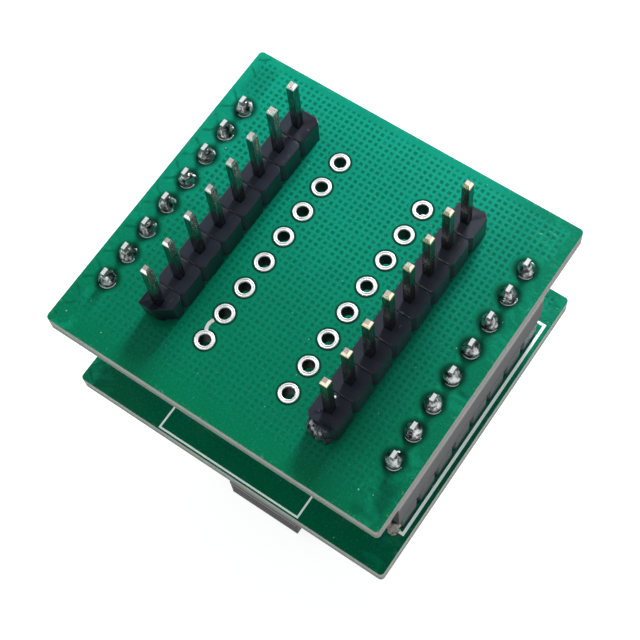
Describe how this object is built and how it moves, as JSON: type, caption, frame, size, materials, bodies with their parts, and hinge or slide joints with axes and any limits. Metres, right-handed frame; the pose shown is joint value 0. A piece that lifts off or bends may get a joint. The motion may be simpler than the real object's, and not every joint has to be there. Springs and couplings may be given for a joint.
{
  "type": "ic programming adapter",
  "caption": "Two plugged circuit boards with rows of header pins on one side and a hinged clamshell test socket for a surface mount chip on the other.",
  "frame": {"origin": "middle of the box round the whole part, on the outer face of the closed lid of the test socket", "axes": "+Z points the way the header pins point, X runs across the pin rows, Y runs along them, with the lid's latch at -Y and its hinge at +Y"},
  "size_m": [0.03, 0.028, 0.0393],
  "materials": {
    "board": "glossy green solder mask on woven board",
    "solder": "bright tinned",
    "header_plastic": "satin moulded",
    "socket_plastic": "glossy moulded",
    "test_socket_plastic": "satin moulded",
    "pad_plastic": "satin moulded",
    "gold": "thin gold plate",
    "steel": "drawn"
  },
  "bodies": {
    "socket_unit": {"socket_board": "board", "plug_strip_left": "header_plastic", "plug_strip_right": "header_plastic", "plug_pins_left": "gold", "plug_pins_right": "gold", "plug_solder_left": "solder", "plug_solder_right": "solder", "test_socket_base": "test_socket_plastic", "contact_stopper_plate": "test_socket_plastic", "chip_contacts_left": "gold", "chip_contacts_right": "gold", "contact_solder_left": "solder", "contact_solder_right": "solder", "hinge_pin": "steel", "hinge_spring": "steel"},
    "plug_unit": {"base_board": "board", "plated_holes_left": "solder", "plated_holes_right": "solder", "bare_trace": "solder", "pin_header_left": "header_plastic", "pin_header_right": "header_plastic", "header_pins_left": "gold", "header_pins_right": "gold", "header_solder_left": "solder", "header_solder_right": "solder", "socket_strip_left": "socket_plastic", "socket_strip_right": "socket_plastic", "strip_contacts_left": "gold", "strip_contacts_right": "gold", "strip_solder_left": "solder", "strip_solder_right": "solder"},
    "lid": {"lid": "test_socket_plastic", "pressure_pad": "pad_plastic", "latch_pin": "steel", "latch_spring": "steel"},
    "latch": {"latch": "test_socket_plastic"}
  },
  "joints": [
    {"name": "board_unplug", "type": "slide", "parent": "socket_unit", "child": "plug_unit", "axis": [0, 0, 1], "range_m": [0, 0.0056]},
    {"name": "lid_hinge", "type": "hinge", "parent": "socket_unit", "child": "lid", "pos_m": [0, 0.0106, 0.0069], "axis": [1, 0, 0], "range_deg": [0, 105]},
    {"name": "latch_pivot", "type": "hinge", "parent": "lid", "child": "latch", "pos_m": [0, -0.0094, 0.0039], "axis": [1, 0, 0], "range_deg": [-8.5, 0]}
  ]
}
